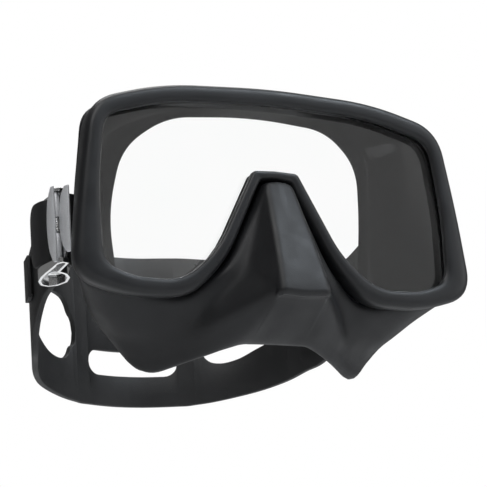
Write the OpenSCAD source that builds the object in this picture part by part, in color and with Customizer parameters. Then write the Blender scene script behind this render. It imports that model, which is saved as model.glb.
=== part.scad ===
// Single-lens diving mask with a silicone skirt, swivel buckles and a split strap.
// The front faces -Y, the wearer is on the +Y side and +Z is up.
// The origin is the centre of the face opening.

/* [Mask] */
// Half width of the rim at its bottom corners
rim_half_w = 83; // [81:0.5:86]
// Height of the rim's top edge above the lens centre line
rim_top = 43.5; // [42:0.5:46]
// Depth of the front rim, front to back
rim_depth = 9; // [8.5:0.5:10]
// Thickness of the tempered lens
lens_t = 4; // [3:0.5:5]
// Thickness of the silicone skirt
skirt_t = 2; // [1.5:0.1:2.5]
// How far the nose pocket stands in front of the rim
nose_reach = 15; // [12:0.5:20]

/* [Strap and buckles] */
// Width of the strap where it meets the buckle
tail_w = 24; // [20:1:26]
// Width of the strap at the back of the head
back_w = 63; // [60:1:68]
// Thickness of the strap
strap_t = 2.4; // [1.8:0.2:2.8]
// Diameter of the strap roller
roller_d = 7; // [6:0.5:8]

/* [Hidden] */
$fn = 48;
origin = [0, 30, -8];

// ---- rounded loops ---------------------------------------------------------
// A corner is [x, y, z, cut]; half a loop runs from the top centre to the bottom centre.
corner_n = 3;
side_n = 1;
function xyz(c) = [c.x, c.y, c.z];
function flip(c) = [-c.x, c.y, c.z, c[3]];
function full(half) = concat(half, [for (i = [len(half) - 2:-1:1]) flip(half[i])]);
function bend(a, b, c, s) = (1 - s) * (1 - s) * a + 2 * s * (1 - s) * b + s * s * c;
function toward(a, b, d) = a + (b - a) * d / norm(b - a);
// A cut never takes more than 0.45 of the shorter side beside it.
function cut(c, i) =
    let (n = len(c), b = xyz(c[i]))
    min(c[i][3], 0.45 * norm(xyz(c[(i + 1) % n]) - b), 0.45 * norm(xyz(c[(i + n - 1) % n]) - b));
function loop(half) =
    let (c = full(half), n = len(c))
    [for (i = [0:n - 1])
        let (a = xyz(c[(i + n - 1) % n]), b = xyz(c[i]), d = xyz(c[(i + 1) % n]),
             p = toward(b, a, cut(c, i)), q = toward(b, d, cut(c, i)),
             r = toward(d, b, cut(c, (i + 1) % n)))
        each concat([for (k = [0:corner_n]) bend(p, b, q, k / corner_n)],
                    [for (k = [1:side_n]) q + (r - q) * k / (side_n + 1)])];

// Outer and inner edges of the rim, in the plane of its front face.
wide = rim_half_w;
rim_outer = [[0, 0, rim_top, 14], [44, 0, rim_top - 2, 14], [wide - 9.6, 0, rim_top - 10.2, 11],
             [wide - 4, 0, 0, 12], [wide, 0, -32.5, 15], [60, 0, -38.8, 9], [37, 0, -38, 8],
             [21.8, 0, -23.5, 9], [6.2, 0, 7.2, 1.5], [0, 0, 7.6, 1]];
rim_inner = [[0, 0, rim_top - 6.5, 14], [43, 0, rim_top - 8.5, 14], [wide - 14.5, 0, rim_top - 16, 7],
             [wide - 11, 0, 0, 12], [wide - 11.5, 0, -27.5, 8], [60, 0, -32, 9], [41, 0, -32.5, 8],
             [26, 0, -20.5, 12], [9.2, 0, 10.6, 1.5], [0, 0, 11, 1]];
outer = loop(rim_outer);
inner = loop(rim_inner);
loop_n = len(outer);

// Point at a fraction f of the way from the rim's inner edge to its outer edge, at depth y.
function rim_at(i, f, y) = inner[i] + (outer[i] - inner[i]) * f + [0, y, 0];

// ---- closed surfaces -------------------------------------------------------
// Rings of m points each, joined round in both directions.
function tri_quads(rings, m) =
    [for (j = [0:rings - 1], i = [0:m - 1])
        let (a = j * m + i, b = j * m + (i + 1) % m,
             c = ((j + 1) % rings) * m + (i + 1) % m, d = ((j + 1) % rings) * m + i)
        each [[a, b, c], [a, c, d]]];

// Ring swept round the rim: profile points are [fraction, depth].
module rim_sweep(profile) {
    m = len(profile);
    points = [for (i = [0:loop_n - 1], k = [m - 1:-1:0]) rim_at(i, profile[k][0], profile[k][1])];
    polyhedron(points, tri_quads(loop_n, m), convexity = 8);
}

// ---- skirt -----------------------------------------------------------------
// Each row is half a loop of corners, from the rim back to the inner edge of the face seal.
tip = -nose_reach;
skirt_rows = [
    [[0, 12.5, 41.5, 14], [44, 12.5, 39.5, 14], [71.5, 12.5, 31.5, 7], [73.4, 13, 0, 12], [76.7, 13, -32.5, 10],
     [60, 13, -38.5, 9], [37, 10, -39.7, 8], [19.8, 3, -25, 6], [4.4, 0.8, 5.2, 1.5], [0, 0.6, 5.6, 1]],
    [[0, 14, 41, 14], [44, 16, 39, 14], [67, 18, 31, 8], [68.4, 21, 0, 12], [70.5, 23, -35, 9],
     [56, 21, -46, 9], [34, 13, -45, 7], [15, -1, -29, 4], [5.4, -2.6, 0, 1.5], [0, -3.2, 0.5, 1.5]],
    [[0, 15, 40.5, 14], [43, 18.5, 38.5, 14], [63.8, 24, 30.5, 9], [64.3, 28, 0, 12], [66.2, 30.7, -37, 10],
     [52, 27.5, -50.8, 9], [32, 15, -50, 7], [11, tip + 4, -36.5, 3], [9, tip, -35, 1.5], [0, tip, -35.5, 2]],
    [[0, 16, 40, 14], [42, 21, 38, 14], [60.8, 29, 30, 10], [61, 33.5, 0, 12], [61.2, 35.7, -38.5, 10],
     [48.7, 30.5, -56, 8], [30, 16.5, -53, 7], [12, tip + 9, -42, 3], [9, tip + 3.5, -39.5, 1.5],
     [0, tip + 3.5, -40, 2]],
    [[0, 17, 39.5, 14], [40, 22.5, 37.5, 14], [57.3, 32, 29, 11], [58.6, 37, 0, 12], [56, 38.2, -38.5, 12],
     [44.5, 31.5, -61, 8], [28, 18, -56, 7], [14, 9, -51.5, 4], [8, 10, -51, 3], [0, 10, -51, 3]],
    [[0, 18, 36.5, 14], [34, 21, 35, 14], [50.5, 27, 23.5, 14], [54, 34.2, 0, 12], [50, 36.2, -34.5, 12],
     [40.5, 32, -55, 8], [27, 20, -52, 7], [14, 14.5, -49, 4], [8, 14, -48.5, 3], [0, 14, -48.5, 3]]];

steps = 2;
function knot(p, q, r, s, t) =
    0.5 * (2 * q + (r - p) * t + (2 * p - 5 * q + 4 * r - s) * t * t + (3 * q - p - 3 * r + s) * t * t * t);
function through(rows, i) =
    let (n = len(rows))
    concat([for (j = [0:n - 2], k = [0:steps - 1])
                knot(rows[max(j - 1, 0)][i], rows[j][i], rows[j + 1][i], rows[min(j + 2, n - 1)][i], k / steps)],
           [rows[n - 1][i]]);
// The lip lies behind the rim, and beside the nose it steps out past the rim's edge.
function beside_nose(p) = p.z < 12 ? max(0, min(1, (38 - abs(p.x)) / 10)) : 0;
skirt_start = [for (i = [0:loop_n - 1]) rim_at(i, 0.38 + 0.72 * beside_nose(outer[i]), rim_depth + 1.2)];
skirt_lip = [for (i = [0:loop_n - 1]) rim_at(i, 0.66 + 0.89 * beside_nose(outer[i]), rim_depth + 1.5)];
skirt_loops = concat([skirt_start, skirt_lip], [for (r = skirt_rows) loop(r)]);
skirt_cols = [for (i = [0:loop_n - 1]) through(skirt_loops, i)];
skirt_m = len(skirt_cols[0]);

function unit(v) = v / max(norm(v), 0.0001);
function skirt_normal(i, j) =
    let (n = loop_n, du = skirt_cols[(i + 1) % n][j] - skirt_cols[(i + n - 1) % n][j],
         dv = skirt_cols[i][min(j + 1, skirt_m - 1)] - skirt_cols[i][max(j - 1, 0)])
    unit(cross(unit(du), unit(dv)));

module skirt() {
    points = [for (i = [0:loop_n - 1])
        each concat([for (j = [0:skirt_m - 1]) skirt_cols[i][j] + skirt_normal(i, j) * skirt_t / 2],
                    [for (j = [skirt_m - 1:-1:0]) skirt_cols[i][j] - skirt_normal(i, j) * skirt_t / 2])];
    color("#2b2c2e")
        polyhedron(points, tri_quads(loop_n, 2 * skirt_m), convexity = 10);
}

module lens() {
    color("#dfe9ea", 0.35)
        translate([0, 2.6 + lens_t, 0])
            rotate([90, 0, 0])
                linear_extrude(lens_t)
                    polygon([for (i = [0:loop_n - 1]) let (p = rim_at(i, 0.62, 0)) [p.x, p.z]]);
}

module lens_frame() {
    back = 2.7 + lens_t;
    color("#1c1d1f")
        rim_sweep([[0.12, back], [0.12, back + 1], [0.62, back + 1], [0.62, back]]);
}

module front_rim() {
    seat = 2.5;
    color("#303234")
        rim_sweep([[0, 1], [0, seat], [0.68, seat], [0.68, rim_depth], [0.84, rim_depth], [0.9, rim_depth - 0.8],
                   [1, 3.4], [0.94, 1.3], [0.78, 0.3], [0.5, 0], [0.2, 0.1], [0.06, 0.4]]);
}

// ---- strap -----------------------------------------------------------------
// Right half, [x, y, bottom edge, top edge]; heights are from the roller's middle.
// The tail folds round the roller and the band runs to the back of the head.
pivot = [74.8, 20, -8];
roller_at = [73.5, 39];
half_w = tail_w / 2;
wrap_r = roller_d / 2 + 0.3 + strap_t / 2;
fold_n = 8;
tail_path = [[77.3, 48.6, -5.5, 5.5], [77.5, 47.9, -8.3, 8.3], [77.9, 46.3, -10.2, 10.2],
             [78.3, 44.2, 0.5 - half_w, half_w - 0.5], [78.5, 42, -half_w, half_w]];
fold_path = [for (k = [0:fold_n])
    [roller_at.x + wrap_r * cos(180 * k / fold_n), roller_at.y - wrap_r * sin(180 * k / fold_n),
     -half_w, half_w]];
back_mid = -12.4;
low = back_mid - back_w / 2;
high = back_mid + back_w / 2;
band_path = [[68.7, 45, -half_w, half_w], [69.2, 52, -16, 11.3], [69.3, 60, -19, 9], [68.1, 69, -24.5, 5.5],
             [65.9, 77.5, -29.5, 3.5], [63, 85.5, -34, 3.5], [59.9, 93.5, low + 8.2, 5],
             [56.7, 101, low + 6.2, high - 11], [53, 108, low + 4.8, high - 8.3], [48.5, 114.2, low + 3.6, high - 6],
             [42.8, 119.6, low + 2.5, high - 4], [36.4, 124.2, low + 1.4, high - 2.3], [31.5, 127, low + 0.7, high - 1.4],
             [27.2, 129.2, low + 0.3, high - 0.8], [24, 130.8, low, high - 0.4], [20.5, 132.2, low, high - 0.2],
             [14, 134.6, low, high], [7, 136.4, low, high], [0, 137, low, high]];
half_path = concat(tail_path, fold_path, band_path);
// Bottom and top of the side hole at its stations.
hole_edges = [[-16, -15.4], [-19.5, -9.5], [-22.5, -3.5], [-26.5, 0.2], [-27.8, 0.6], [-24.5, -3.5], [-15.4, -14.6]];
hole_start = len(tail_path) + len(fold_path) + 7;
hole_cells = len(hole_edges) - 1;
slot_start = len(half_path) - 4;
// Edges of the two back slots, from the bottom up.
slot_edges = [-31.3, -20.8, -4, 6.5];
half_last = len(half_path) - 1;
strap_n = 2 * half_last + 1;
rows_n = 6;

function station(i) = half_path[min(i, strap_n - 1 - i)];
function side(i) = i <= half_last ? 1 : -1;
function place_at(i) = [side(i) * station(i).x, station(i).y, 0];
function along(i) = unit(place_at(min(i + 1, strap_n - 1)) - place_at(max(i - 1, 0)));
function across(i) = [along(i).y, -along(i).x, 0];
// Heights of a station's rows: its edges, and four rows between them that bound the holes.
function row_z(i, r) =
    let (s = station(i), k = min(i, strap_n - 1 - i), h = k - hole_start, whole = s[3] - s.z)
    r == 0 ? s.z
    : r == rows_n - 1 ? s[3]
    : h >= 0 && h <= hole_cells
    ? hole_edges[h][0] + (hole_edges[h][1] - hole_edges[h][0]) * (r - 1) / 3
    : k >= slot_start ? slot_edges[r - 1] : s.z + whole * r / (rows_n - 1);
// A cell is the patch between stations i and i + 1 and rows r and r + 1.
function in_hole(i) = i >= hole_start && i < hole_start + hole_cells;
function in_slot(i) = i >= slot_start && i < slot_start + 3;
function mirrored(i) = min(i, strap_n - 2 - i);
function solid(i, r) =
    i >= 0 && i < strap_n - 1 && r >= 0 && r < rows_n - 1
    && !(in_hole(mirrored(i)) && r > 0 && r < 4)
    && !((in_slot(mirrored(i))) && (r == 1 || r == 3));
function at(i, r, layer) = (i * rows_n + r) * 2 + layer;
function quad(a, b, c, d) = [[a, b, c], [a, c, d]];

module strap_band() {
    points = [for (i = [0:strap_n - 1], r = [0:rows_n - 1], layer = [0, 1])
        place_at(i) + across(i) * (layer - 0.5) * strap_t + [0, 0, row_z(i, r)]];
    skins = [for (i = [0:strap_n - 2], r = [0:rows_n - 2]) if (solid(i, r))
        each concat(quad(at(i, r, 0), at(i + 1, r, 0), at(i + 1, r + 1, 0), at(i, r + 1, 0)),
                    quad(at(i, r, 1), at(i, r + 1, 1), at(i + 1, r + 1, 1), at(i + 1, r, 1)))];
    long_walls = [for (i = [0:strap_n - 2], r = [0:rows_n - 1]) if (solid(i, r) != solid(i, r - 1))
        each solid(i, r) ? quad(at(i, r, 0), at(i, r, 1), at(i + 1, r, 1), at(i + 1, r, 0))
                         : quad(at(i, r, 0), at(i + 1, r, 0), at(i + 1, r, 1), at(i, r, 1))];
    end_walls = [for (i = [0:strap_n - 1], r = [0:rows_n - 2]) if (solid(i, r) != solid(i - 1, r))
        each solid(i, r) ? quad(at(i, r, 0), at(i, r + 1, 0), at(i, r + 1, 1), at(i, r, 1))
                         : quad(at(i, r, 0), at(i, r, 1), at(i, r + 1, 1), at(i, r + 1, 0))];
    polyhedron(points, concat(skins, long_walls, end_walls), convexity = 12);
}

module strap() {
    color("#2a2a2b")
        translate([0, 0, pivot.z]) strap_band();
}

// ---- buckles ---------------------------------------------------------------
// Each is drawn on the right and mirrored for the left; plan outlines are [x, y].
pin_d = 4;
bore_gap = 0.1;
cheek_z = 12.5;
cheek_t = 1;
lip_w = 1;
lip_h = 4.5;
base_x = 74.8;
base_t = 1.2;
lever_at = [77.8, 26.2];
lever_pin_d = 1.5;
lever_half_h = 12.2;
plate_half_h = 14;
axle_d = 2.4;
spring_half_h = 2.8;
through_h = 20;
through_x = [68, 80];

module on_side(side) {
    mirror([side < 0 ? 1 : 0, 0, 0])
        translate([0, 0, pivot.z])
            children();
}

module bar_x(x0, x1, d) {
    translate([x0, pivot.y, 0])
        rotate([0, 90, 0])
            cylinder(h = x1 - x0, d = d);
}

module upright(at, half_h, d) {
    translate([at.x, at.y, -half_h])
        cylinder(h = 2 * half_h, d = d);
}

module slab(half_h, outline) {
    translate([0, 0, -half_h])
        linear_extrude(2 * half_h)
            polygon(outline);
}

// Lobe seen from the side: a straight front edge and a bulging rear edge, outlined in Y and Z.
module lobe(front, rear, bulge, half_h) {
    steps_up = 12;
    roundness = 2.2;
    x_span = [70, 90];
    translate([x_span[1], 0, 0])
        rotate([0, -90, 0])
            linear_extrude(x_span[1] - x_span[0])
                polygon(concat([[-half_h, front], [half_h, front]],
                               [for (k = [steps_up:-1:-steps_up])
                                   [half_h * k / steps_up, rear - bulge * pow(abs(k / steps_up), roundness)]]));
}

module bracket(side) {
    color("#1b1b1c")
        on_side(side)
            difference() {
                slab(9, [[75.7, 14.8], [77.2, 14.6], [77.2, 15.6], [75.2, 15.8], [74.5, 17], [74.5, 25.5],
                        [69, 25.5], [73.7, 17.2]]);
                bar_x(through_x[0], through_x[1], pin_d + bore_gap);
            }
}

module pivot_pin(side) {
    color("#b9bcc0")
        on_side(side) {
            bar_x(73.1, 76.2, pin_d);
            bar_x(76.1, 76.9, 6);
        }
}

module buckle_frame(side) {
    upper = [[74.8, 23.6], [77.4, 22.8], [79.1, 24.6], [79.1, 28], [77.4, 30.5], [76.6, 34], [76.4, 40],
             [75, 42.8], [72, 43], [70, 41.4], [70, 37], [71.4, 33.4], [74.8, 31.8]];
    lower = [[74.8, 23.6], [77.4, 22.8], [79.1, 24.6], [79.3, 29], [79.8, 34], [79.9, 38], [79.2, 42],
             [77, 45.4], [73.5, 46.6], [70, 45], [68, 41], [68.8, 36.6], [71.4, 33.4], [74.8, 31.8]];
    color("#c4c7ca")
        on_side(side)
            difference() {
                union() {
                    translate([base_x, 0, 0])
                        rotate([90, 0, 90])
                            linear_extrude(base_t)
                                hull() {
                                    translate([pivot.y, 0]) circle(r = 3.3);
                                    translate([25, -cheek_z]) square([6.8, 2 * cheek_z]);
                                }
                    translate([0, 0, cheek_z])
                        linear_extrude(cheek_t)
                            polygon(upper);
                    translate([0, 0, -cheek_z - cheek_t])
                        linear_extrude(cheek_t)
                            polygon(lower);
                    translate([0, 0, -cheek_z - cheek_t - lip_h])
                        linear_extrude(cheek_t + lip_h)
                            difference() {
                                polygon(lower);
                                offset(delta = -lip_w) polygon(lower);
                            }
                }
                // The lip's lower edge rises towards the front.
                translate([through_x[0] - 5, 0, 0])
                    rotate([90, 0, 90])
                        linear_extrude(through_x[1] - through_x[0] + 10)
                            polygon([[20, -cheek_z - cheek_t - 0.3], [48, -cheek_z - cheek_t - lip_h],
                                     [48, -30], [20, -30]]);
                bar_x(through_x[0], through_x[1], pin_d + bore_gap);
                upright(roller_at, through_h, axle_d + bore_gap);
                upright(lever_at, through_h, lever_pin_d + bore_gap);
            }
}

module cover_plate(side) {
    color("#9a9da1")
        on_side(side)
            intersection() {
                slab(through_h, [[77.3, 14.6], [78, 14.2], [78.6, 16], [78.9, 19], [78.4, 22.4], [77.4, 22.2],
                                 [77.8, 19], [77.5, 16.2]]);
                lobe(14, 22.4, 6, 12.2);
            }
}

module lever(side) {
    color("#a4a7ab")
        on_side(side)
            difference() {
                union() {
                    intersection() {
                        slab(plate_half_h, [[79.35, 23.4], [79.9, 23.2], [80.3, 25.4], [80.4, 27.5], [80.1, 29.8],
                                            [79.3, 29.6], [79.5, 27.5]]);
                        lobe(23, 29.8, 5, plate_half_h);
                    }
                    slab(lever_half_h, [[79.1, 24.9], [79.6, 24.9], [79.6, 27.4], [78.4, 27.6], [77.5, 32.4],
                                        [76.9, 32.2], [77, 27]]);
                    upright(lever_at, lever_half_h, 2.9);
                }
                upright(lever_at, through_h, lever_pin_d + bore_gap);
                upright(lever_at, spring_half_h + 0.3, 3.4);
            }
}

module lever_pin(side) {
    color("#b9bcc0")
        on_side(side)
            upright(lever_at, cheek_z + cheek_t, lever_pin_d);
}

// A small coil round the lever's pin, drawn as the sleeve that its turns fill.
module lever_spring(side) {
    color("#8e9195")
        on_side(side)
            difference() {
                upright(lever_at, spring_half_h, lever_pin_d + 1.2);
                upright(lever_at, through_h, lever_pin_d + 0.2);
            }
}

module roller(side) {
    color("#6f7276")
        on_side(side)
            difference() {
                upright(roller_at, 12.1, roller_d);
                upright(roller_at, through_h, axle_d + bore_gap);
            }
}

module roller_axle(side) {
    head_z = cheek_z + cheek_t + 0.05;
    color("#b9bcc0")
        on_side(side) {
            upright(roller_at, head_z, axle_d);
            for (up = [0, 1])
                mirror([0, 0, up])
                    translate([roller_at.x, roller_at.y, head_z])
                        cylinder(h = 0.8, d = 4);
        }
}

// Soft bridge that lies flat on the outer face of the band and stretches over a longer tail.
module keeper(side) {
    room = [0.5, 14];
    wall = 1.2;
    depth = 10;
    color("#222223")
        on_side(side)
            translate([68.1, 75, -7.7])
                rotate([0, 0, 15])
                    difference() {
                        translate([0, -depth / 2, -room.y / 2 - wall])
                            cube([room.x + wall, depth, room.y + 2 * wall]);
                        translate([-1, -depth, -room.y / 2])
                            cube([room.x + 1, 2 * depth, room.y]);
                    }
}

module left_bracket() {
    bracket(-1);
}

module right_bracket() {
    bracket(1);
}

module left_pivot_pin() {
    pivot_pin(-1);
}

module right_pivot_pin() {
    pivot_pin(1);
}

module left_buckle_frame() {
    buckle_frame(-1);
}

module right_buckle_frame() {
    buckle_frame(1);
}

module left_cover_plate() {
    cover_plate(-1);
}

module right_cover_plate() {
    cover_plate(1);
}

module left_lever() {
    lever(-1);
}

module right_lever() {
    lever(1);
}

module left_lever_pin() {
    lever_pin(-1);
}

module right_lever_pin() {
    lever_pin(1);
}

module left_lever_spring() {
    lever_spring(-1);
}

module right_lever_spring() {
    lever_spring(1);
}

module left_roller() {
    roller(-1);
}

module right_roller() {
    roller(1);
}

module left_roller_axle() {
    roller_axle(-1);
}

module right_roller_axle() {
    roller_axle(1);
}

module left_keeper() {
    keeper(-1);
}

module right_keeper() {
    keeper(1);
}

// Every node is set in the frame whose origin is the face opening.
module part() {
    translate(-origin) children();
}

part() skirt();
part() lens();
part() lens_frame();
part() front_rim();
part() strap();
part() left_bracket();
part() left_pivot_pin();
part() left_buckle_frame();
part() left_cover_plate();
part() left_lever();
part() left_lever_pin();
part() left_lever_spring();
part() left_roller();
part() left_roller_axle();
part() left_keeper();
part() right_bracket();
part() right_pivot_pin();
part() right_buckle_frame();
part() right_cover_plate();
part() right_lever();
part() right_lever_pin();
part() right_lever_spring();
part() right_roller();
part() right_roller_axle();
part() right_keeper();
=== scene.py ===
import math

import bmesh
import bpy
from mathutils import Matrix, Vector


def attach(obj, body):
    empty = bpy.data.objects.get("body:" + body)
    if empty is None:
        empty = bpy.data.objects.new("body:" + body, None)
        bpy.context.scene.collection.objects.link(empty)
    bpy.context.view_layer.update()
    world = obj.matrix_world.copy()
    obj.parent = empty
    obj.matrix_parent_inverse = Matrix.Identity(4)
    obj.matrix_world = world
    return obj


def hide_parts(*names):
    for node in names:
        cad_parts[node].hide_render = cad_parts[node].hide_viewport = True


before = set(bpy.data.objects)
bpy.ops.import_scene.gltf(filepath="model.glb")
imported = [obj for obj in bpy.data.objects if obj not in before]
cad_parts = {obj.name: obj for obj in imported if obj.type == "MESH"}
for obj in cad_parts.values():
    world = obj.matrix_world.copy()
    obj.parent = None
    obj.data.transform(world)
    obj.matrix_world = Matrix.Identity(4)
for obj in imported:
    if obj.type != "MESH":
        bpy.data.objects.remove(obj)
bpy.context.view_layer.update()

MM = 0.001
ORIGIN = Vector((0.0, 30.0, -8.0))  # the frame's origin, in the mask's own millimetres


def mask_point(x, y, z):
    """A point in the mask's own millimetres, as metres in the frame."""
    return (Vector((x, y, z)) - ORIGIN) * MM


# ---- rounded loops -------------------------------------------------------------------------
# A corner is (x, y, z, cut). Half a loop runs from the top centre to the bottom centre.
CORNER_STEPS = 9
SIDE_STEPS = 5
WIDE = 83.0  # half width of the rim at its bottom corners
TOP = 43.5  # height of its top edge
RIM_DEPTH = 9.0
SKIRT_T = 2.0
TIP = -15.0  # how far forward the nose pocket reaches

RIM_OUTER = [(0, 0, TOP, 14), (44, 0, TOP - 2, 14), (WIDE - 9.6, 0, TOP - 10.2, 11),
             (WIDE - 4, 0, 0, 12), (WIDE, 0, -32.5, 15), (60, 0, -38.8, 9), (37, 0, -38, 8),
             (21.8, 0, -23.5, 9), (6.2, 0, 7.2, 1.5), (0, 0, 7.6, 1)]
RIM_INNER = [(0, 0, TOP - 6.5, 14), (43, 0, TOP - 8.5, 14), (WIDE - 14.5, 0, TOP - 16, 7),
             (WIDE - 11, 0, 0, 12), (WIDE - 11.5, 0, -27.5, 8), (60, 0, -32, 9), (41, 0, -32.5, 8),
             (26, 0, -20.5, 12), (9.2, 0, 10.6, 1.5), (0, 0, 11, 1)]
# From the rim back to the turned-in edge of the face seal.
SKIRT_ROWS = [
    [(0, 12.5, 41.5, 14), (44, 12.5, 39.5, 14), (71.5, 12.5, 31.5, 7), (73.4, 13, 0, 12),
     (76.7, 13, -32.5, 10), (60, 13, -38.5, 9), (37, 10, -39.7, 8), (19.8, 3, -25, 6),
     (4.4, 0.8, 5.2, 1.5), (0, 0.6, 5.6, 1)],
    [(0, 14, 41, 14), (44, 16, 39, 14), (67, 18, 31, 8), (68.4, 21, 0, 12), (70.5, 23, -35, 9),
     (56, 21, -46, 9), (34, 13, -45, 7), (15, -1, -29, 4), (5.4, -2.6, 0, 1.5), (0, -3.2, 0.5, 1.5)],
    [(0, 15, 40.5, 14), (43, 18.5, 38.5, 14), (63.8, 24, 30.5, 9), (64.3, 28, 0, 12), (66.2, 30.7, -37, 10),
     (52, 27.5, -50.8, 9), (32, 15, -50, 7), (11, TIP + 4, -36.5, 3), (9, TIP, -35, 1.5),
     (0, TIP, -35.5, 2)],
    [(0, 16, 40, 14), (42, 21, 38, 14), (60.8, 29, 30, 10), (61, 33.5, 0, 12), (61.2, 35.7, -38.5, 10),
     (48.7, 30.5, -56, 8), (30, 16.5, -53, 7), (12, TIP + 9, -42, 3), (9, TIP + 3.5, -39.5, 1.5),
     (0, TIP + 3.5, -40, 2)],
    [(0, 17, 39.5, 14), (40, 22.5, 37.5, 14), (57.3, 32, 29, 11), (58.6, 37, 0, 12), (56, 38.2, -38.5, 12),
     (44.5, 31.5, -61, 8), (28, 18, -56, 7), (14, 9, -51.5, 4), (8, 10, -51, 3), (0, 10, -51, 3)],
    [(0, 18, 36.5, 14), (34, 21, 35, 14), (50.5, 27, 23.5, 14), (54, 34.2, 0, 12), (50, 36.2, -34.5, 12),
     (40.5, 32, -55, 8), (27, 20, -52, 7), (14, 14.5, -49, 4), (8, 14, -48.5, 3), (0, 14, -48.5, 3)]]


CUT_SHARE = 0.45  # the most that a corner's cut takes of the shorter side beside it


def rounded_loop(half):
    """The closed loop of a half outline and its mirror image, with every corner rounded by its cut."""
    corners = half + [(-x, y, z, c) for x, y, z, c in half[-2:0:-1]]
    n = len(corners)
    point = [Vector(c[:3]) for c in corners]
    gap = [(point[(i + 1) % n] - point[i]).length for i in range(n)]
    cut = [min(corners[i][3], CUT_SHARE * gap[i], CUT_SHARE * gap[i - 1]) for i in range(n)]
    out = []
    for i in range(n):
        b, after = point[i], point[(i + 1) % n]
        p = b + (point[i - 1] - b).normalized() * cut[i]
        q = b + (after - b).normalized() * cut[i]
        r = after + (b - after).normalized() * cut[(i + 1) % n]
        for k in range(CORNER_STEPS + 1):
            t = k / CORNER_STEPS
            out.append(p * (1 - t) ** 2 + b * 2 * t * (1 - t) + q * t * t)
        for k in range(1, SIDE_STEPS + 1):
            out.append(q.lerp(r, k / (SIDE_STEPS + 1)))
    return out


OUTER = rounded_loop(RIM_OUTER)
INNER = rounded_loop(RIM_INNER)
LOOP_N = len(OUTER)


def rim_at(i, fraction, depth):
    return INNER[i].lerp(OUTER[i], fraction) + Vector((0, depth, 0))


def beside_nose(p):
    """1 beside the nose, where the lip steps out past the rim's edge, and 0 elsewhere."""
    nose_top, reach, fade = 12.0, 38.0, 10.0
    return max(0.0, min(1.0, (reach - abs(p.x)) / fade)) if p.z < nose_top else 0.0


def knot(p, q, r, s, t):
    """A point between q and r on the smooth curve through p, q, r and s."""
    square = (2 * p - 5 * q + 4 * r - s) * t * t
    cube = (3 * q - p - 3 * r + s) * t ** 3
    return 0.5 * (2 * q + (r - p) * t + square + cube)


def through(points, steps):
    """A smooth curve through the points, with this many steps between two of them."""
    n = len(points)
    out = []
    for j in range(n - 1):
        before, after = points[max(j - 1, 0)], points[min(j + 2, n - 1)]
        out += [knot(before, points[j], points[j + 1], after, k / steps) for k in range(steps)]
    return out + [points[-1]]


# ---- mesh helpers --------------------------------------------------------------------------
def new_object(name, verts, faces):
    mesh = bpy.data.meshes.new(name)
    mesh.from_pydata([tuple(v) for v in verts], [], faces)
    obj = bpy.data.objects.new(name, mesh)
    bpy.context.scene.collection.objects.link(obj)
    tidy_normals(obj)
    return obj


def tidy_normals(obj):
    bm = bmesh.new()
    bm.from_mesh(obj.data)
    bmesh.ops.recalc_face_normals(bm, faces=bm.faces)
    bm.to_mesh(obj.data)
    bm.free()


def shade_smooth(obj, angle=math.radians(40)):
    for poly in obj.data.polygons:
        poly.use_smooth = True
    obj.data.set_sharp_from_angle(angle=angle)


def apply_all(obj):
    """Applies every modifier, so that the piece is its final mesh."""
    graph = bpy.context.evaluated_depsgraph_get()
    mesh = bpy.data.meshes.new_from_object(obj.evaluated_get(graph))
    obj.modifiers.clear()
    obj.data = mesh


def ring_mesh(name, columns):
    """A closed tube-like surface: each column is a closed ring of points, and the columns form a loop."""
    m = len(columns[0])
    n = len(columns)
    verts = [mask_point(*p) for column in columns for p in column]
    faces = [(i * m + j, i * m + (j + 1) % m, ((i + 1) % n) * m + (j + 1) % m, ((i + 1) % n) * m + j)
             for i in range(n) for j in range(m)]
    return new_object(name, verts, faces)


# ---- materials -----------------------------------------------------------------------------
def principled(name):
    mat = bpy.data.materials.new(name)
    mat.use_nodes = True
    nodes, links = mat.node_tree.nodes, mat.node_tree.links
    return mat, nodes, links, nodes["Principled BSDF"]


def noise(nodes, links, coords, scale, detail=3.0, rough=0.5):
    tex = nodes.new("ShaderNodeTexNoise")
    tex.inputs["Scale"].default_value = scale
    tex.inputs["Detail"].default_value = detail
    tex.inputs["Roughness"].default_value = rough
    links.new(coords.outputs["Object"], tex.inputs["Vector"])
    return tex


def ramp(nodes, links, source, low, high, start=0.3, end=0.7):
    node = nodes.new("ShaderNodeValToRGB")
    node.color_ramp.elements[0].position = start
    node.color_ramp.elements[1].position = end
    node.color_ramp.elements[0].color = low
    node.color_ramp.elements[1].color = high
    links.new(source, node.inputs["Fac"])
    return node


def grey(value):
    return (value, value, value, 1.0)


def silicone(name, dark, light, rough_low, rough_high, grain, grain_scale=2600.0):
    """Moulded silicone: faint mottling, uneven sheen and a fine moulded grain."""
    mat, nodes, links, bsdf = principled(name)
    coords = nodes.new("ShaderNodeTexCoord")
    mottle = noise(nodes, links, coords, 45.0, 4.0)
    tint = ramp(nodes, links, mottle.outputs["Fac"], dark, light)
    links.new(tint.outputs["Color"], bsdf.inputs["Base Color"])
    haze = noise(nodes, links, coords, 120.0, 3.0)
    spread = ramp(nodes, links, haze.outputs["Fac"], grey(rough_low), grey(rough_high))
    links.new(spread.outputs["Color"], bsdf.inputs["Roughness"])
    fine = noise(nodes, links, coords, grain_scale, 2.0, 0.6)
    bump = nodes.new("ShaderNodeBump")
    bump.inputs["Strength"].default_value = grain
    bump.inputs["Distance"].default_value = 0.0002
    links.new(fine.outputs["Fac"], bump.inputs["Height"])
    links.new(bump.outputs["Normal"], bsdf.inputs["Normal"])
    bsdf.inputs["Specular IOR Level"].default_value = 0.24
    return mat


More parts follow.
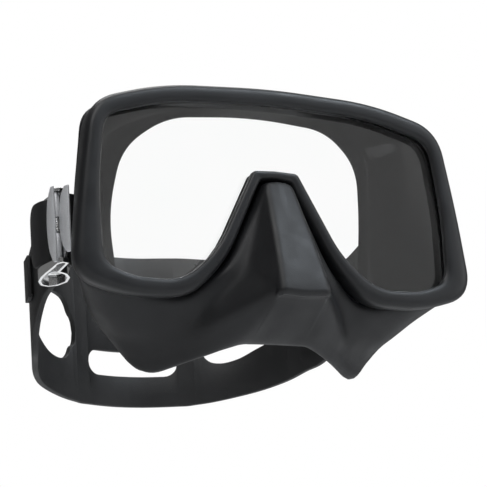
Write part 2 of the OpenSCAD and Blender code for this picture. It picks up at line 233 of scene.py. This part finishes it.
def metal(name, low, high, rough_low, rough_high, brushed, metallic=1.0):
    """Metal with fine brushed lines and slightly uneven polish."""
    mat, nodes, links, bsdf = principled(name)
    coords = nodes.new("ShaderNodeTexCoord")
    mapping = nodes.new("ShaderNodeMapping")
    mapping.inputs["Scale"].default_value = (1.0, 1.0, 14.0)
    links.new(coords.outputs["Object"], mapping.inputs["Vector"])
    lines = nodes.new("ShaderNodeTexNoise")
    lines.inputs["Scale"].default_value = 700.0
    lines.inputs["Detail"].default_value = 4.0
    links.new(mapping.outputs["Vector"], lines.inputs["Vector"])
    tint = ramp(nodes, links, lines.outputs["Fac"], low, high)
    links.new(tint.outputs["Color"], bsdf.inputs["Base Color"])
    wear = noise(nodes, links, coords, 260.0, 4.0)
    spread = ramp(nodes, links, wear.outputs["Fac"], grey(rough_low), grey(rough_high))
    links.new(spread.outputs["Color"], bsdf.inputs["Roughness"])
    bump = nodes.new("ShaderNodeBump")
    bump.inputs["Strength"].default_value = brushed
    bump.inputs["Distance"].default_value = 0.0001
    links.new(lines.outputs["Fac"], bump.inputs["Height"])
    links.new(bump.outputs["Normal"], bsdf.inputs["Normal"])
    bsdf.inputs["Metallic"].default_value = metallic
    return mat


def lens_glass(name):
    """Clear tempered glass with a trace of green and faint smears in its polish."""
    mat, nodes, links, bsdf = principled(name)
    coords = nodes.new("ShaderNodeTexCoord")
    smear = noise(nodes, links, coords, 30.0, 4.0)
    tint = ramp(nodes, links, smear.outputs["Fac"], (0.985, 0.995, 0.99, 1.0), (1.0, 1.0, 1.0, 1.0))
    links.new(tint.outputs["Color"], bsdf.inputs["Base Color"])
    polish = ramp(nodes, links, smear.outputs["Fac"], grey(0.0), grey(0.02))
    links.new(polish.outputs["Color"], bsdf.inputs["Roughness"])
    bsdf.inputs["Transmission Weight"].default_value = 1.0
    bsdf.inputs["IOR"].default_value = 1.5
    return mat


SKIRT_OUT = silicone("skirt_matte", (0.0055, 0.0057, 0.0064, 1), (0.0085, 0.0088, 0.0098, 1),
                     0.42, 0.54, 0.3)
SKIRT_IN = silicone("skirt_gloss", (0.003, 0.0032, 0.0036, 1), (0.005, 0.0053, 0.006, 1),
                    0.12, 0.24, 0.03)
RIM_MAT = silicone("rim_satin", (0.0075, 0.0078, 0.0086, 1), (0.011, 0.0115, 0.0126, 1),
                   0.36, 0.48, 0.25)
STRAP_MAT = silicone("strap_matte", (0.0085, 0.0086, 0.009, 1), (0.0125, 0.0127, 0.0132, 1),
                     0.42, 0.55, 0.25)
PLASTIC = silicone("black_plastic", (0.004, 0.004, 0.0044, 1), (0.007, 0.007, 0.0075, 1),
                   0.25, 0.38, 0.12, 3500.0)
CHROME = metal("chrome_polish", grey(0.78), grey(0.88), 0.07, 0.15, 0.03)
PLATE = metal("satin_plate", (0.56, 0.57, 0.59, 1), (0.68, 0.69, 0.71, 1), 0.34, 0.46, 0.12, 0.5)
STEEL = metal("brushed_steel", grey(0.5), grey(0.6), 0.2, 0.34, 0.1)
GLASS = lens_glass("lens_glass")


def paint(obj, *mats):
    obj.data.materials.clear()
    for mat in mats:
        obj.data.materials.append(mat)


# ---- skirt ---------------------------------------------------------------------------------
SKIRT_STEPS = 6  # rows of faces between two of the skirt's rows
EDGE_SHARE = 0.35  # thickness of the seal's free edge, as a share of the skirt's
EDGE_GROWTH = 0.13  # and how much of it each row of faces adds


def make_skirt():
    """The skirt's two skins, from the lip under the rim back to the turned-in edge of the face seal."""
    near = [beside_nose(p) for p in OUTER]
    start = [rim_at(i, 0.38 + 0.25 * near[i], RIM_DEPTH + 1.2) for i in range(LOOP_N)]
    lip = [rim_at(i, 0.66 + 0.89 * near[i], RIM_DEPTH + 1.5) for i in range(LOOP_N)]
    loops = [start, lip] + [rounded_loop(row) for row in SKIRT_ROWS]
    columns = [through([loop[i] for loop in loops], SKIRT_STEPS) for i in range(LOOP_N)]
    m = len(columns[0])
    rings = []
    for i in range(LOOP_N):
        ahead, behind = columns[(i + 1) % LOOP_N], columns[i - 1]
        out, back = [], []
        for j in range(m):
            du = (ahead[j] - behind[j]).normalized()
            dv = (columns[i][min(j + 1, m - 1)] - columns[i][max(j - 1, 0)]).normalized()
            normal = du.cross(dv).normalized()
            from_edge = m - 1 - j
            half = SKIRT_T / 2 * min(1.0, EDGE_SHARE + EDGE_GROWTH * from_edge)
            out.append(columns[i][j] + normal * half)
            back.append(columns[i][j] - normal * half)
        rings.append(out + back[::-1])
    obj = ring_mesh("skirt_shell", rings)
    paint(obj, SKIRT_OUT, SKIRT_IN)
    ring_n = len(rings[0])
    for index, poly in enumerate(obj.data.polygons):
        poly.material_index = 0 if index % ring_n < m - 1 else 1
    shade_smooth(obj, math.radians(60))
    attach(obj, "mask")
    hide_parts("skirt")


# ---- rim -----------------------------------------------------------------------------------
def make_rim():
    """The rim's section, as (fraction from inner to outer edge, depth), swept round the lens."""
    seat = 2.5
    profile = [(0.0, 0.9), (0.0, seat), (0.68, seat), (0.68, RIM_DEPTH), (0.84, RIM_DEPTH),
               (0.89, RIM_DEPTH - 0.5), (0.94, 6.6), (0.98, 4.6), (1.0, 3.2), (0.985, 2.2), (0.94, 1.3),
               (0.87, 0.7), (0.78, 0.3), (0.65, 0.08), (0.5, 0.0), (0.3, 0.02), (0.16, 0.12), (0.06, 0.4)]
    obj = ring_mesh("rim_bezel", [[rim_at(i, *p) for p in profile] for i in range(LOOP_N)])
    paint(obj, RIM_MAT)
    shade_smooth(obj, math.radians(50))
    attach(obj, "mask")
    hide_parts("front_rim")


# ---- strap ---------------------------------------------------------------------------------
# Right half as (x, y, bottom, top); heights are from the roller's middle.
ROLLER_AT = (73.5, 39.0)
PIVOT_Z = -8.0
STRAP_T = 2.4
HALF_W = 12.0
WRAP_R = 5.0
LOW, HIGH = -43.9, 19.1  # bottom and top edge at the middle of the back
TAIL = [(77.3, 48.6, -5.5, 5.5), (77.5, 47.9, -8.3, 8.3), (77.9, 46.3, -10.2, 10.2),
        (78.3, 44.2, -11.5, 11.5), (78.5, 42, -HALF_W, HALF_W)]
FOLD_STEPS = 8
FOLD = [(ROLLER_AT[0] + WRAP_R * math.cos(math.pi * k / FOLD_STEPS),
         ROLLER_AT[1] - WRAP_R * math.sin(math.pi * k / FOLD_STEPS), -HALF_W, HALF_W)
        for k in range(FOLD_STEPS + 1)]
BAND = [(68.7, 45, -HALF_W, HALF_W), (69.2, 52, -16, 11.3), (69.3, 60, -19, 9), (68.1, 69, -24.5, 5.5),
        (65.9, 77.5, -29.5, 3.5), (63, 85.5, -34, 3.5), (59.9, 93.5, LOW + 8.2, 5),
        (56.7, 101, LOW + 6.2, HIGH - 11), (53, 108, LOW + 4.8, HIGH - 8.3),
        (48.5, 114.2, LOW + 3.6, HIGH - 6), (42.8, 119.6, LOW + 2.5, HIGH - 4),
        (36.4, 124.2, LOW + 1.4, HIGH - 2.3), (31.5, 127, LOW + 0.7, HIGH - 1.4),
        (27.2, 129.2, LOW + 0.3, HIGH - 0.8), (24, 130.8, LOW, HIGH - 0.4), (20.5, 132.2, LOW, HIGH - 0.2),
        (14, 134.6, LOW, HIGH), (7, 136.4, LOW, HIGH), (0, 137, LOW, HIGH)]
HALF_PATH = TAIL + FOLD + BAND
HOLE_FIRST = len(TAIL) + len(FOLD) + 7
SLOT_FIRST = len(HALF_PATH) - 4
ROWS = 6  # points across the band
# Middle and half height of the side opening at its stations.
HOLE_MIDDLE = [-15.7, -14.5, -13.0, -13.15, -13.6, -14.0, -15.0]
HOLE_HALF = [0.0, 5.6, 9.9, 12.8, 13.4, 10.6, 0.0]
SLOT_EDGES = (-31.3, -20.8, -4.0, 6.5)
SLOT_HALF_LENGTH = 20.5
HOLE_LAST = HOLE_FIRST + len(HOLE_HALF) - 1


def lookup(values, t):
    """The smooth curve through the values at station number t."""
    n = len(values)
    j = min(int(t), n - 2)
    before, after = values[max(j - 1, 0)], values[min(j + 2, n - 1)]
    return knot(before, values[j], values[j + 1], after, t - j)


def hole_half(t):
    """Half height of the side opening, with its two ends rounded off."""
    last = len(HOLE_HALF) - 1
    blunt = 0.6
    end = min(t, last - t)
    if end >= blunt:
        return lookup(HOLE_HALF, t)
    full = lookup(HOLE_HALF, blunt if t < 1 else last - blunt)
    return full * math.sqrt(max(0.0, 1 - (1 - end / blunt) ** 2))


def slot_rows(x):
    """Heights of the two slots' edges at a distance from the middle; each slot has round ends."""
    rounding = (SLOT_EDGES[1] - SLOT_EDGES[0]) / 2
    beyond = max(0.0, x - (SLOT_HALF_LENGTH - rounding)) / rounding
    open_part = math.sqrt(max(0.0, 1 - beyond * beyond))
    out = []
    for low, high in (SLOT_EDGES[:2], SLOT_EDGES[2:]):
        middle, half = (low + high) / 2, (high - low) / 2 * open_part
        out += [middle - half, middle + half]
    return out


def mix(near, far, share):
    return [a + (b - a) * share for a, b in zip(near, far)]


def strap_rows(t, x):
    """Six heights across the band at a station: its edges, and four that bound its openings."""
    bottom, top = (lookup([s[k] for s in HALF_PATH], t) for k in (2, 3))
    even = [bottom + (top - bottom) * k / (ROWS - 1) for k in range(ROWS)]
    if t < HOLE_FIRST - 1:
        return even
    into = t - HOLE_FIRST
    if t < HOLE_FIRST:
        return [bottom] + mix([lookup(HOLE_MIDDLE, 0)] * 4, even[1:5], -into) + [top]
    if t <= HOLE_LAST:
        middle, half = lookup(HOLE_MIDDLE, into), hole_half(into)
        return [bottom] + [middle + half * (k * 2 / 3 - 1) for k in range(4)] + [top]
    if x > SLOT_HALF_LENGTH:
        share = (t - HOLE_LAST) / (SLOT_FIRST - HOLE_LAST)
        closed = [lookup(HOLE_MIDDLE, len(HOLE_MIDDLE) - 1)] * 4
        return [bottom] + mix(closed, slot_rows(x), min(1.0, share)) + [top]
    return [bottom] + slot_rows(x) + [top]


def strap_stations():
    """Station numbers from the tail to the middle of the back, closer together where the outline turns."""
    hole_end = [0.0, 0.02, 0.06, 0.12, 0.2, 0.3, 0.4, 0.52, 0.68, 0.84]
    slot_end = [0.0, 0.02, 0.06, 0.13, 0.22, 0.34, 0.48, 0.64, 0.82]
    spacing = 1.1
    out = []
    last = len(HALF_PATH) - 1
    for j in range(last):
        a, b = HALF_PATH[j], HALF_PATH[j + 1]
        steps = max(2, round(math.hypot(b[0] - a[0], b[1] - a[1]) / spacing))
        if j == HOLE_FIRST:
            out += [j + e for e in hole_end]
        elif j == HOLE_LAST - 1:
            out += [j] + [j + 1 - e for e in hole_end[:0:-1]]
        elif j == SLOT_FIRST:
            out += [j + e for e in slot_end]
        else:
            out += [j + k / steps for k in range(steps)]
    return out + [last]


def strap_cells(stations):
    """Faces of the band between neighbouring stations, leaving out its openings."""
    slack = 1e-6
    faces = []
    for i in range(len(stations) - 1):
        lower, upper = sorted(stations[i:i + 2])
        in_hole = lower >= HOLE_FIRST - slack and upper <= HOLE_LAST + slack
        in_slot = lower >= SLOT_FIRST - slack
        for r in range(ROWS - 1):
            if (in_hole and 0 < r < 4) or (in_slot and r in (1, 3)):
                continue
            a = i * ROWS + r
            faces.append((a, a + ROWS, a + ROWS + 1, a + 1))
    return faces


def make_strap():
    """The split strap, from one folded tail round the back to the other."""
    half = []
    for t in strap_stations():
        x, y = (lookup([s[k] for s in HALF_PATH], t) for k in (0, 1))
        half.append((t, x, y, strap_rows(t, x)))
    columns = half + [(t, -x, y, rows) for t, x, y, rows in half[-2::-1]]
    verts = [mask_point(x, y, PIVOT_Z + z) for t, x, y, rows in columns for z in rows]
    mesh = bpy.data.meshes.new("strap_web")
    mesh.from_pydata([tuple(v) for v in verts], [], strap_cells([c[0] for c in columns]))
    obj = bpy.data.objects.new("strap_web", mesh)
    bpy.context.scene.collection.objects.link(obj)
    bm = bmesh.new()
    bm.from_mesh(mesh)
    bmesh.ops.remove_doubles(bm, verts=bm.verts, dist=0.02 * MM)
    bmesh.ops.delete(bm, geom=[v for v in bm.verts if not v.link_faces], context="VERTS")
    bm.to_mesh(mesh)
    bm.free()
    thick = obj.modifiers.new("thickness", "SOLIDIFY")
    thick.thickness = STRAP_T * MM
    thick.offset = 0.0
    thick.use_even_offset = True
    edge = obj.modifiers.new("round", "BEVEL")
    edge.width = 0.35 * MM
    edge.segments = 2
    edge.limit_method = "ANGLE"
    edge.angle_limit = math.radians(60)
    edge.use_clamp_overlap = False
    apply_all(obj)
    tidy_normals(obj)
    paint(obj, STRAP_MAT)
    shade_smooth(obj, math.radians(50))
    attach(obj, "harness")
    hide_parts("strap")


# ---- bevelled copies of the CAD's metal and plastic pieces ---------------------------------
def bevelled(node, name, body, mat, width=0.3):
    """A copy of a CAD piece with its edges rounded, which stands for it."""
    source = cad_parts[node]
    obj = bpy.data.objects.new(name, source.data.copy())
    bpy.context.scene.collection.objects.link(obj)
    bm = bmesh.new()
    bm.from_mesh(obj.data)
    bmesh.ops.remove_doubles(bm, verts=bm.verts, dist=1e-6)
    bmesh.ops.dissolve_limit(bm, angle_limit=math.radians(1.0), verts=bm.verts, edges=bm.edges)
    bm.to_mesh(obj.data)
    bm.free()
    edge = obj.modifiers.new("round", "BEVEL")
    edge.width = width * MM
    edge.segments = 3
    edge.limit_method = "ANGLE"
    edge.angle_limit = math.radians(32)
    edge.use_clamp_overlap = True
    apply_all(obj)
    paint(obj, mat)
    for poly in obj.data.polygons:
        poly.material_index = 0
    shade_smooth(obj, math.radians(35))
    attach(obj, body)
    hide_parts(node)
    return obj


def make_spring(side, body):
    """The lever's torsion coil, wound round its pin."""
    sign = 1 if side == "right" else -1
    at, coil_r, wire_r, half_h = (77.8, 26.2), 1.08, 0.26, 2.5
    turns, per_turn, around = 8, 20, 8
    n = turns * per_turn
    verts = []
    for k in range(n + 1):
        turn = 2 * math.pi * k / per_turn
        outward = Vector((math.cos(turn), math.sin(turn), 0))
        centre = Vector((*at, half_h * (2 * k / n - 1))) + outward * coil_r
        for j in range(around):
            a = 2 * math.pi * j / around
            p = centre + wire_r * (outward * math.cos(a) + Vector((0, 0, math.sin(a))))
            verts.append(mask_point(sign * p.x, p.y, PIVOT_Z + p.z))
    faces = []
    for k in range(n):
        for j in range(around):
            a, b = k * around + j, k * around + (j + 1) % around
            faces.append((a, b, b + around, a + around))
    faces += [tuple(range(around)), tuple(n * around + j for j in range(around))]
    obj = new_object(side + "_return_spring", verts, faces)
    paint(obj, STEEL)
    shade_smooth(obj, math.radians(60))
    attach(obj, body)
    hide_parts(side + "_lever_spring")


def make_lip_shade_sheet(side, body):
    """Thin black sheet inside the frame's lower lip: painted shade where the lip lies in shadow, not a real
    part.
    """
    sign = 1 if side == "right" else -1
    outline = [(75.2, 25), (77.6, 24.6), (78.2, 29), (78.7, 34), (78.8, 38), (78.2, 41.2), (76.6, 43.9),
               (75.6, 44.2), (75.4, 40), (71.6, 38), (70.4, 36.6), (72.2, 34.4), (75.2, 32.6)]
    bottom, top = -14.2, -13.55
    n = len(outline)
    verts = [mask_point(sign * x, y, PIVOT_Z + z) for z in (bottom, top) for x, y in outline]
    faces = [tuple(range(n)), tuple(range(n, 2 * n))]
    faces += [(j, (j + 1) % n, n + (j + 1) % n, n + j) for j in range(n)]
    # painted shade: a black sheet where the frame's lower lip is in shadow
    obj = new_object(side + "_lip_painted_shade", verts, faces)
    paint(obj, PLASTIC)
    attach(obj, body)


def make_buckle(side):
    body = side + "_buckle"
    bevelled(side + "_bracket", side + "_bracket_lug", "mask", PLASTIC, 0.6)
    bevelled(side + "_buckle_frame", side + "_frame_plate", body, CHROME, 0.25)
    bevelled(side + "_cover_plate", side + "_cover", "mask", PLATE, 0.35)
    bevelled(side + "_lever", side + "_lever_plate", side + "_lever_arm", PLATE, 0.35)
    bevelled(side + "_roller_axle", side + "_axle", body, STEEL, 0.25)
    bevelled(side + "_pivot_pin", side + "_swivel_pin", "mask", STEEL, 0.25)
    bevelled(side + "_lever_pin", side + "_hinge_pin", body, STEEL, 0.2)
    make_spring(side, body)
    # painted shade: a thin black sheet inside the frame's lower lip
    make_lip_shade_sheet(side, body)
    bevelled(side + "_roller", side + "_strap_roller", side + "_roller_drum", STEEL, 0.3)
    bevelled(side + "_keeper", side + "_keeper_loop", "harness", STRAP_MAT, 0.4)


make_skirt()
make_rim()
make_strap()
for side in ("left", "right"):
    make_buckle(side)
paint(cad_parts["lens"], GLASS)
paint(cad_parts["lens_frame"], PLASTIC)


# ---- stage, light and camera ---------------------------------------------------------------
def make_stage():
    floor_z = -0.3
    size = 3.0
    floor = new_object("floor", [(-size, -size, floor_z), (size, -size, floor_z), (size, size, floor_z),
                                 (-size, size, floor_z)], [(0, 1, 2, 3)])
    mat, nodes, links, bsdf = principled("pale_floor")
    bsdf.inputs["Base Color"].default_value = grey(0.8)
    bsdf.inputs["Roughness"].default_value = 0.9
    paint(floor, mat)


def make_world():
    """White to the eye, also through the lens, and a soft grey room for the light on the mask."""
    world = bpy.data.worlds.new("studio")
    bpy.context.scene.world = world
    world.use_nodes = True
    nodes, links = world.node_tree.nodes, world.node_tree.links
    nodes.clear()
    seen = nodes.new("ShaderNodeBackground")
    seen.inputs["Color"].default_value = grey(1.0)
    room = nodes.new("ShaderNodeBackground")
    room.inputs["Color"].default_value = grey(1.0)
    room.inputs["Strength"].default_value = 0.16
    path = nodes.new("ShaderNodeLightPath")
    either = nodes.new("ShaderNodeMath")
    either.operation = "MAXIMUM"
    links.new(path.outputs["Is Camera Ray"], either.inputs[0])
    links.new(path.outputs["Is Transmission Ray"], either.inputs[1])
    mix = nodes.new("ShaderNodeMixShader")
    links.new(either.outputs[0], mix.inputs[0])
    links.new(room.outputs[0], mix.inputs[1])
    links.new(seen.outputs[0], mix.inputs[2])
    out = nodes.new("ShaderNodeOutputWorld")
    links.new(mix.outputs[0], out.inputs["Surface"])


def soft_light(name, place, aim, size, power, colour=(1.0, 1.0, 1.0)):
    data = bpy.data.lights.new(name, "AREA")
    data.shape = "RECTANGLE"
    data.size, data.size_y = size
    data.energy = power
    data.color = colour
    obj = bpy.data.objects.new(name, data)
    obj.location = place
    obj.rotation_euler = (Vector(aim) - Vector(place)).to_track_quat("-Z", "Y").to_euler()
    bpy.context.scene.collection.objects.link(obj)


def make_lights():
    soft_light("key", (-0.5, -0.9, 1.1), (0, 0.03, 0), (0.9, 0.7), 16)
    soft_light("fill", (1.1, -0.7, 0.3), (0, 0.03, 0), (0.7, 0.9), 5)
    soft_light("top", (0.1, 0.3, 1.2), (0, 0.05, 0), (0.8, 0.8), 12)
    soft_light("sheen", (0.57, -0.65, 0.86), (0, -0.03, -0.01), (0.4, 0.4), 10, (0.84, 0.92, 1.0))
    soft_light("below", (-0.5, -0.3, -0.9), (0, 0.05, 0), (0.9, 0.9), 3)


def direction(yaw, tilt):
    yaw, tilt = math.radians(yaw), math.radians(tilt)
    return Vector((math.sin(yaw) * math.cos(tilt), math.cos(yaw) * math.cos(tilt), -math.sin(tilt)))


def make_camera():
    """Seen from the front left and a little below, through a long lens."""
    distance = 858.89
    standpoint = (29.51, -15.09)  # yaw and tilt of the line from the camera to the mask's centre
    aim = (28.55, -14.07)  # yaw and tilt of the camera's own axis
    roll = math.radians(3.91)
    widths_away = 4.788  # focal length, in widths of the sensor
    sensor = 36.0
    place = -direction(*standpoint) * distance
    ahead = direction(*aim)
    right = Vector((math.cos(math.radians(aim[0])), -math.sin(math.radians(aim[0])), 0.0))
    up = right.cross(ahead)
    right_turned = right * math.cos(roll) - up * math.sin(roll)
    up_turned = right * math.sin(roll) + up * math.cos(roll)
    data = bpy.data.cameras.new("camera")
    data.sensor_width = sensor
    data.lens = widths_away * sensor
    data.clip_start = 0.01
    obj = bpy.data.objects.new("camera", data)
    axes = Matrix((right_turned, up_turned, -ahead)).transposed().to_4x4()
    obj.matrix_world = Matrix.Translation(mask_point(*place)) @ axes
    bpy.context.scene.collection.objects.link(obj)
    bpy.context.scene.camera = obj


make_stage()
make_world()
make_lights()
make_camera()
bpy.context.scene.view_settings.view_transform = "Standard"

bpy.context.view_layer.update()
